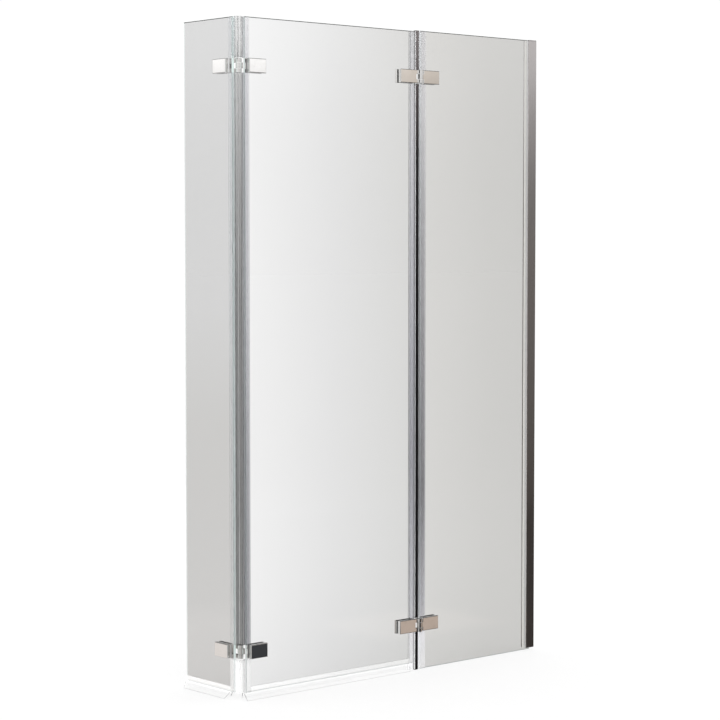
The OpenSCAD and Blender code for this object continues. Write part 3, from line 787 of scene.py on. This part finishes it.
# Brightness as shares of its height: dark low down, softboxes half way up, dark above them
ROOM_LEVELS = [
    (0.0, (0.13, 0.115, 0.105)), (0.04, (0.14, 0.126, 0.113)), (0.161, (0.217, 0.205, 0.194)),
    (0.234, (0.256, 0.235, 0.221)), (0.318, (0.297, 0.289, 0.277)), (0.402, (0.55, 0.54, 0.535)),
    (0.450, rgb(0.97)), (0.475, rgb(1.12)), (0.515, rgb(1.22)), (0.55, rgb(0.30)),
    (1.0, rgb(0.20)),
]

# The ground that only reflections see
GROUND_HALF = ROOM_RADIUS * 1.1
GROUND_DROP = 0.0003
GROUND_FAR = (0.10, 0.097, 0.095)
# Its patches, each laid over those before: centre, reach on X and Y, soft rim and colour
GROUND_PATCHES = (
    (FOOTPRINT, (0.5, 0.5), 2.3, (0.50, 0.49, 0.48)),  # round the screen
    ((0.92, -1.06), (1.66, 1.05), 0.12, (0.0345, 0.029, 0.026)),  # dark, before the screen
    ((-0.53, -0.40), (0.18, 0.16), 0.10, (0.043, 0.046, 0.051)),  # low corner hinge, middle plate
    ((-1.25, 0.00), (0.22, 0.28), 0.10, rgb(0.50)),  # low corner hinge, knuckles
    ((0.01, -0.43), (0.15, 0.10), 0.08, (0.50, 0.41, 0.35)),  # low seam hinge
    ((-1.25, 0.50), (0.22, 0.25), 0.25, (0.78, 0.74, 0.71)),  # low corner hinge, return plate
)

# Pale card to the -X side, which brightens the knuckles of the upper corner hinge
CARD_X = -1.37
CARD_Y = (-0.26, 0.36)
CARD_Z = (1.22, 1.355)
CARD_GLOW = 0.85

# Softboxes: name, place, turn in degrees, side and power in watts
SOFTBOXES = (
    ("key_light", (-1.6, -2.2, 2.6), (45, 0, -30), 1.6, 8.0),
    ("rim_light", (1.2, 1.8, 2.4), (-45, 0, -30), 1.4, 5.0),
)


def stage_mesh(name, verts, faces, material, seen_by_camera):
    """Part of the studio. What only reflections see is hidden from the camera."""
    mesh = bpy.data.meshes.new(name)
    mesh.from_pydata(verts, [], faces)
    mesh.materials.append(material)
    thing = bpy.data.objects.new(name, mesh)
    SCENE.collection.objects.link(thing)
    if not seen_by_camera:
        thing.visible_camera = False
        thing.visible_transmission = False
        thing.visible_diffuse = False
        thing.visible_shadow = False
        thing.visible_volume_scatter = False


def level_square(centre, half, z):
    cx, cy = centre
    return [
        (cx - half, cy - half, z), (cx + half, cy - half, z),
        (cx + half, cy + half, z), (cx - half, cy + half, z),
    ]


def glowing(name, colour_of):
    """Emission shader whose colour is made by colour_of(shader)."""
    shader = Shader(name)
    glow = shader.node("ShaderNodeEmission")
    shader.put(glow.inputs["Color"], colour_of(shader))
    shader.join(glow.outputs[0], shader.output.inputs["Surface"])
    return shader.material


def white_floor():
    """Matt floor that also glows, so that it stays white under the soft shadows."""
    shader = Shader("studio_floor")
    glow = shader.node("ShaderNodeEmission")
    glow.inputs["Strength"].default_value = FLOOR_GLOW
    matt = shader.node("ShaderNodeBsdfDiffuse")
    matt.inputs["Color"].default_value = rgba(rgb(FLOOR_ALBEDO))
    both = shader.node("ShaderNodeAddShader")
    shader.join(glow.outputs[0], both.inputs[0])
    shader.join(matt.outputs[0], both.inputs[1])
    shader.join(both.outputs[0], shader.output.inputs["Surface"])
    verts = level_square((0.0, 0.0), FLOOR_HALF, RIM_Z - FLOOR_DROP)
    stage_mesh("studio_floor", verts, [(0, 1, 2, 3)], shader.material, True)


def room_colour(shader):
    """Walls and ceiling of the studio as polished metal sees them."""
    x = shader.math("SUBTRACT", shader.axis("X"), FOOTPRINT[0])
    y = shader.math("SUBTRACT", shader.axis("Y"), FOOTPRINT[1])
    turn = shader.remap(shader.math("ARCTAN2", y, x), (-math.pi, math.pi), (0.0, 1.0))
    level = shader.math("DIVIDE", shader.axis("Z"), ROOM_HEIGHT)
    return shader.times(shader.ramp(turn, ROOM_TURN), shader.ramp(level, ROOM_LEVELS))


def room():
    """Round room with a ceiling."""
    wall = circle(FOOTPRINT, ROOM_RADIUS, ROOM_SIDES)
    verts = [(x, y, z) for z in (RIM_Z, ROOM_HEIGHT) for x, y in wall]
    faces = []
    for i in range(ROOM_SIDES):
        j = (i + 1) % ROOM_SIDES
        faces.append((i, j, ROOM_SIDES + j, ROOM_SIDES + i))
    faces.append(tuple(range(ROOM_SIDES, 2 * ROOM_SIDES)))
    stage_mesh("studio_room", verts, faces, glowing("studio_room", room_colour), False)


def lobe(shader, centre, reach, soft):
    """1 round a point of the ground, falling to 0 over soft metres beyond its reach on X and Y."""
    shares = []
    for name, middle, half in zip(AXES, centre, reach):
        away = shader.math("ABSOLUTE", shader.math("SUBTRACT", shader.axis(name), middle))
        shares.append(shader.remap(away, (half, half + soft), (1.0, 0.0)))
    return shader.math("MULTIPLY", *shares)


def ground_colour(shader):
    """Ground that darkens far off, with the dark and pale boards that the low fittings mirror."""
    ground = rgba(GROUND_FAR)
    for centre, reach, soft, colour in GROUND_PATCHES:
        ground = shader.mix(lobe(shader, centre, reach, soft), ground, rgba(colour))
    return ground


def reflected_ground():
    """The ground as reflections see it. The camera sees the white floor below it."""
    verts = level_square(FOOTPRINT, GROUND_HALF, RIM_Z - GROUND_DROP)
    material = glowing("studio_ground", ground_colour)
    stage_mesh("studio_ground", verts, [(0, 1, 2, 3)], material, False)


def corner_card():
    (low_y, high_y), (low_z, high_z) = CARD_Y, CARD_Z
    verts = [
        (CARD_X, low_y, low_z), (CARD_X, high_y, low_z),
        (CARD_X, high_y, high_z), (CARD_X, low_y, high_z),
    ]
    material = glowing("corner_card", lambda shader: rgba(rgb(CARD_GLOW)))
    stage_mesh("corner_card", verts, [(0, 1, 2, 3)], material, False)


def world():
    made = bpy.data.worlds.new("white_studio")
    SCENE.world = made
    made.use_nodes = True
    background = made.node_tree.nodes["Background"]
    background.inputs["Color"].default_value = rgba(WHITE)
    background.inputs["Strength"].default_value = WORLD_GLOW


def softbox(name, place, turn, side, power):
    light = bpy.data.lights.new(name, "AREA")
    light.shape = "RECTANGLE"
    light.size = light.size_y = side
    light.energy = power
    thing = bpy.data.objects.new(name, light)
    thing.location = place
    thing.rotation_euler = Euler([math.radians(a) for a in turn])
    thing.visible_camera = False
    thing.visible_transmission = False
    SCENE.collection.objects.link(thing)


def camera():
    data = bpy.data.cameras.new("camera")
    data.lens = CAMERA_LENS
    data.sensor_width = CAMERA_SENSOR
    data.clip_end = CAMERA_REACH
    thing = bpy.data.objects.new("camera", data)
    thing.location = CAMERA_PLACE
    thing.rotation_euler = Euler(
        (math.radians(90.0 - CAMERA_TILT), 0.0, math.radians(CAMERA_AZIMUTH))
    )
    SCENE.collection.objects.link(thing)
    SCENE.camera = thing


panes()
seals()
fittings()
for name in ("wall_channel", "channel_cap"):
    break_edges(name)
for name in (*named("seal"), "glazing_gaskets"):
    ease(name)

white_floor()
room()
reflected_ground()
corner_card()
world()
for box in SOFTBOXES:
    softbox(*box)
camera()

SCENE.view_settings.view_transform = "Standard"
SCENE.view_settings.look = "None"
SCENE.view_settings.exposure = 0.0
SCENE.view_settings.gamma = 1.0
